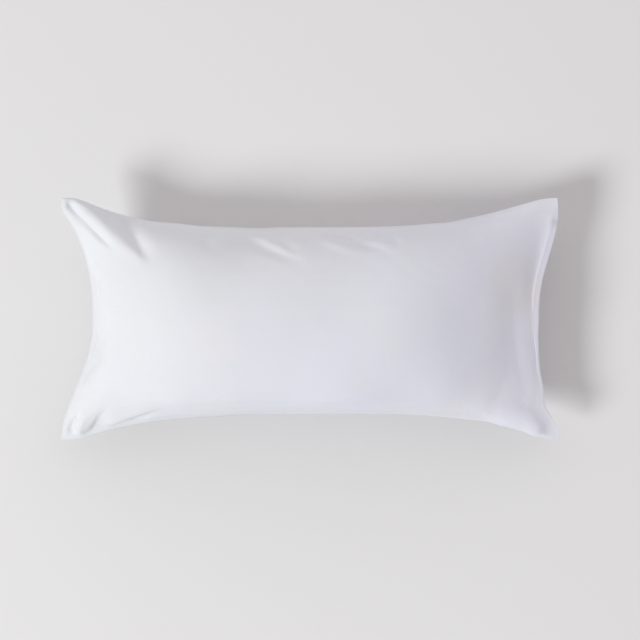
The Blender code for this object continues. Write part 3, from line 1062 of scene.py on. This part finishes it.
def weave(tree, cloth_map):
    """The height of the weave, from 0 between the threads to 1 on them."""
    scale = 2 * np.pi / (WAVES_PER_SCALE * THREAD_PITCH)
    warp = add_node(tree, "TexWave", {"Vector": cloth_map, "Scale": scale}, bands_direction="X")
    weft = add_node(tree, "TexWave", {"Vector": cloth_map, "Scale": scale}, bands_direction="Y")
    both = {0: warp.outputs["Fac"], 1: weft.outputs["Fac"]}
    return add_node(tree, "Math", both, operation="MULTIPLY").outputs[0]


def slubs(tree, cloth_map):
    """Streaks of thicker and thinner thread, along both sets of threads."""
    streaks = []
    for scale in ((1 / SLUB_LENGTH, 1 / SLUB_WIDTH, 1), (1 / SLUB_WIDTH, 1 / SLUB_LENGTH, 1)):
        stretched = add_node(tree, "Mapping", {"Vector": cloth_map, "Scale": scale})
        streak = add_node(tree, "TexNoise", {"Vector": stretched.outputs[0], "Scale": 1, "Detail": 1})
        streaks.append(streak.outputs["Fac"])
    both = add_node(tree, "Math", {0: streaks[0], 1: streaks[1]}, operation="ADD")
    return add_node(tree, "Math", {0: both.outputs[0], 1: 0.5}, operation="MULTIPLY").outputs[0]


def crinkles(tree, place):
    """Faint creases that lie every way."""
    creases = add_node(tree, "TexNoise", {"Vector": place, "Scale": 1 / CRINKLE_LENGTH, "Detail": 4})
    return creases.outputs["Fac"]


print(f"threads {THREAD_PITCH * 1000:.2f} mm apart, slubs {SLUB_LENGTH * 1000:.0f} mm long")

# %% [markdown]
# ### Its white
# Brightener leaves cotton a cool white. Towards the near side and the mouth it is painted lavender:
# that lavender is painted shade, the tint of the shaded sides, with soft lavender patches at random
# over it, and a few patches that are warmer. Slubs show as slightly lighter threads. One flat colour
# would look like plastic: cloth this plain is known by how little, and how softly, it varies.

# %% The white of the cloth
COTTON_PLAIN = (0.740, 0.752, 0.780, 1)
# Painted shade: the lavender white stands in for the tint of shade, towards the near side and the mouth.
COTTON_SHADE_LAVENDER = (0.748, 0.750, 0.848, 1)
COTTON_WARM = (0.764, 0.750, 0.790, 1)
SHADE_LAVENDER_TOWARDS = (1.6, -1.6, 0)
LAVENDER_IN_MIDDLE = 0.12
LAVENDER_PATCH = 0.6
PATCH_LENGTH = 110 * MM
WARM_PATCH_LENGTH = 160 * MM
WARM_FROM = 0.48
WARM_FULLY = 0.75
SLUB_THINNEST = 0.25
SLUB_THICKEST = 0.75
SLUB_DULLEST = 0.985
SLUB_LIGHTEST = 1.015


def patches(tree, place, length):
    """Soft patches of about one length."""
    return add_node(tree, "TexNoise", {"Vector": place, "Scale": 1 / length, "Detail": 2}).outputs["Fac"]


def blend(tree, share, first, second):
    """A colour between two others."""
    mixed = add_node(tree, "Mix", {"Factor": share, "A": first, "B": second}, data_type="RGBA")
    return mixed.outputs["Result"]


def cotton_white(tree, place, threads):
    """The cloth's white at each place: lavender painted shade towards the near side and the mouth, its
    warm patches and its slubs.
    """
    # Painted shade: more lavender towards the near side and the mouth, with soft lavender patches at
    # random.
    run = add_node(tree, "VectorMath", {0: place, 1: SHADE_LAVENDER_TOWARDS}, operation="DOT_PRODUCT")
    uneven = add_node(
        tree, "Math", {0: patches(tree, place, PATCH_LENGTH), 1: LAVENDER_PATCH, 2: LAVENDER_IN_MIDDLE},
        operation="MULTIPLY_ADD",
    )
    share = add_node(
        tree, "Math", {0: run.outputs["Value"], 1: uneven.outputs[0]}, operation="ADD", use_clamp=True
    )
    cool = blend(tree, share.outputs[0], COTTON_PLAIN, COTTON_SHADE_LAVENDER)
    warm_patches = patches(tree, place, WARM_PATCH_LENGTH)
    warmth = add_node(
        tree, "MapRange", {"Value": warm_patches, "From Min": WARM_FROM, "From Max": WARM_FULLY}
    )
    tint_and_shade = blend(tree, warmth.outputs[0], cool, COTTON_WARM)
    lightness = add_node(
        tree, "MapRange", {"Value": threads, "From Min": SLUB_THINNEST, "From Max": SLUB_THICKEST,
                           "To Min": SLUB_DULLEST, "To Max": SLUB_LIGHTEST}
    )
    colour = add_node(tree, "VectorMath", {0: tint_and_shade, "Scale": lightness.outputs[0]}, operation="SCALE")
    return colour.outputs[0]


print("white from", COTTON_PLAIN[:3], "to", COTTON_SHADE_LAVENDER[:3])

# %% [markdown]
# ### The cotton
# Cotton is matt, with hardly any shine and a trace of soft sheen where loose fibres catch the light
# at the edges. Crinkles, slubs and weave are stacked as three bumps, each on the normal of the one
# before. One bump for their sum would work as well, but then their depths could not be set apart.

# %% The cotton material
def cotton():
    """Plain-woven white cotton."""
    material = bpy.data.materials.new("white cotton")
    material.use_nodes = True
    tree = material.node_tree
    shader = tree.nodes["Principled BSDF"]
    shader.inputs["Roughness"].default_value = 0.9
    shader.inputs["Specular IOR Level"].default_value = 0.2
    shader.inputs["Sheen Weight"].default_value = 0.06
    shader.inputs["Sheen Roughness"].default_value = 0.5
    coordinates = add_node(tree, "TexCoord", {})
    place = coordinates.outputs["Object"]
    cloth_map = coordinates.outputs["UV"]
    threads = slubs(tree, cloth_map)
    tree.links.new(cotton_white(tree, place, threads), shader.inputs["Base Color"])
    crinkled = add_node(tree, "Bump", {"Height": crinkles(tree, place), "Distance": CRINKLE_DEPTH})
    slubbed = add_node(
        tree, "Bump", {"Height": threads, "Distance": SLUB_DEPTH, "Normal": crinkled.outputs["Normal"]}
    )
    woven = add_node(
        tree, "Bump",
        {"Height": weave(tree, cloth_map), "Distance": WEAVE_DEPTH, "Normal": slubbed.outputs["Normal"]},
    )
    tree.links.new(woven.outputs["Normal"], shader.inputs["Normal"])
    return material


case.data.materials.append(cotton())
print("nodes in the cotton:", len(case.data.materials[0].node_tree.nodes))

# %% [markdown]
# ### The sewing thread
# Sewing thread is spun harder than the cloth's own, so it is a little smoother and whiter, and its
# twist shows as fine slanting ridges. Slanting waves in space are enough for that, because a stitch
# is so short that nobody can follow the twist round it.

# %% The thread material
THREAD_WHITE = (0.80, 0.80, 0.83, 1)
# Painted shade: the thread's darker white lies between the ridges of its twist.
THREAD_SHADED = (0.72, 0.72, 0.76, 1)
TWIST_PITCH = 0.3 * MM
TWIST_DEPTH = 0.04 * MM


def sewing_thread():
    """Twisted white cotton thread."""
    material = bpy.data.materials.new("cotton thread")
    material.use_nodes = True
    tree = material.node_tree
    shader = tree.nodes["Principled BSDF"]
    shader.inputs["Roughness"].default_value = 0.7
    shader.inputs["Specular IOR Level"].default_value = 0.3
    place = add_node(tree, "TexCoord", {}).outputs["Object"]
    scale = 2 * np.pi / (WAVES_PER_SCALE * TWIST_PITCH)
    twist = add_node(tree, "TexWave", {"Vector": place, "Scale": scale}, bands_direction="DIAGONAL")
    # Painted shade: the colour darkens between the twist's ridges, where shade falls.
    colour = blend(tree, twist.outputs["Fac"], THREAD_SHADED, THREAD_WHITE)
    tree.links.new(colour, shader.inputs["Base Color"])
    bump = add_node(tree, "Bump", {"Height": twist.outputs["Fac"], "Distance": TWIST_DEPTH})
    tree.links.new(bump.outputs["Normal"], shader.inputs["Normal"])
    return material


hem_stitching.data.materials.append(sewing_thread())
print(f"sewing thread twisted every {TWIST_PITCH * 1000:.1f} mm")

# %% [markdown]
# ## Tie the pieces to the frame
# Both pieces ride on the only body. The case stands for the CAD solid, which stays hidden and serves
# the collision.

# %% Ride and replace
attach(case, "root")
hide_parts("pillowcase")
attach(hem_stitching, "root")
print("tied to the frame:", case.name, "and", hem_stitching.name)

# %% [markdown]
# ## The floor
# A plain pale floor shows the shadow and says how high the case stands. It is only a stage: it
# isn't part of the piece, and it is far larger than the view, so that no edge of it shows from
# above.

# %% The floor
FLOOR_HALF_SIZE = 6
FLOOR_COLOUR = (0.757, 0.747, 0.748, 1)


def add_floor():
    """One large square under the case."""
    s = FLOOR_HALF_SIZE
    data = bpy.data.meshes.new("floor")
    data.from_pydata([(-s, -s, 0), (s, -s, 0), (s, s, 0), (-s, s, 0)], [], [(0, 1, 2, 3)])
    material = bpy.data.materials.new("pale floor")
    material.use_nodes = True
    shader = material.node_tree.nodes["Principled BSDF"]
    shader.inputs["Base Color"].default_value = FLOOR_COLOUR
    shader.inputs["Roughness"].default_value = 0.9
    shader.inputs["Specular IOR Level"].default_value = 0.2
    data.materials.append(material)
    floor = bpy.data.objects.new("floor", data)
    bpy.context.scene.collection.objects.link(floor)


add_floor()
print("floor:", 2 * FLOOR_HALF_SIZE, "m square")

# %% [markdown]
# ## The key light
# One large soft light stands low at the near left, so it rakes over the folds and throws the shadow
# to the far right. It is a wide disc, which makes the shadow's edge sharp at the seam and soft
# further out. A sun lamp with a wide angle would do nearly the same, but a disc can be moved
# nearer.

# %% The key light
KEY_AZIMUTH = 213
KEY_ELEVATION = 36
KEY_DISTANCE = 9.0
KEY_WIDTH_DEGREES = 20
KEY_LEVEL = 2.19
KEY_COLOUR = (0.965, 1.0, 0.993)


def add_key():
    """A wide disc that looks at the case. Its level is the light that falls on a square facing it."""
    azimuth, elevation = np.radians(KEY_AZIMUTH), np.radians(KEY_ELEVATION)
    flat = np.cos(elevation)
    way = Vector((flat * np.cos(azimuth), flat * np.sin(azimuth), np.sin(elevation)))
    light = bpy.data.lights.new("key", "AREA")
    light.shape = "DISK"
    light.size = 2 * KEY_DISTANCE * np.tan(np.radians(KEY_WIDTH_DEGREES / 2))
    light.energy = KEY_LEVEL * np.pi * KEY_DISTANCE**2
    light.color = KEY_COLOUR
    key = bpy.data.objects.new("key", light)
    key.location = way * KEY_DISTANCE
    key.rotation_euler = way.to_track_quat("Z", "Y").to_euler()
    bpy.context.scene.collection.objects.link(key)


add_key()
print("key light towards", KEY_AZIMUTH, "degrees,", KEY_ELEVATION, "degrees up")

# %% [markdown]
# ## The surround
# The rest of the light comes from all round, as it does from the walls of a bright room. It is
# strongest on the far side, where it fills the shadow. The world's colour is the sum of four soft
# lobes, one for each of the sides named below. A photographed surround would be an image, and this
# lesson needs none.

# %% The surround
SURROUND = (((1, 0, 0), 0.24), ((0, -1, 0), 0.32), ((0, 1, 0), 1.04), ((0, 0, 1), 0.36))
SURROUND_COLOUR = (1.03, 1.0, 1.01)


def add_surround():
    """A world that is brighter towards some sides, as a room with one large window is."""
    world = bpy.data.worlds.new("surround")
    bpy.context.scene.world = world
    world.use_nodes = True
    tree = world.node_tree
    direction = add_node(tree, "TexCoord", {}).outputs["Generated"]
    total = 0.0
    for towards, level in SURROUND:
        lobe = [level * part for part in towards]
        facing = add_node(tree, "VectorMath", {0: direction, 1: lobe}, operation="DOT_PRODUCT")
        lit = add_node(tree, "Math", {0: facing.outputs["Value"], 1: 0.0}, operation="MAXIMUM")
        total = add_node(tree, "Math", {0: total, 1: lit.outputs[0]}, operation="ADD").outputs[0]
    light = add_node(tree, "VectorMath", {0: SURROUND_COLOUR, "Scale": total}, operation="SCALE")
    tree.links.new(light.outputs[0], tree.nodes["Background"].inputs["Color"])


add_surround()
bpy.context.scene.view_settings.view_transform = "Standard"
print("surround of", len(SURROUND), "lobes")

# %% [markdown]
# ## The end

# %% Finish
print("finished")
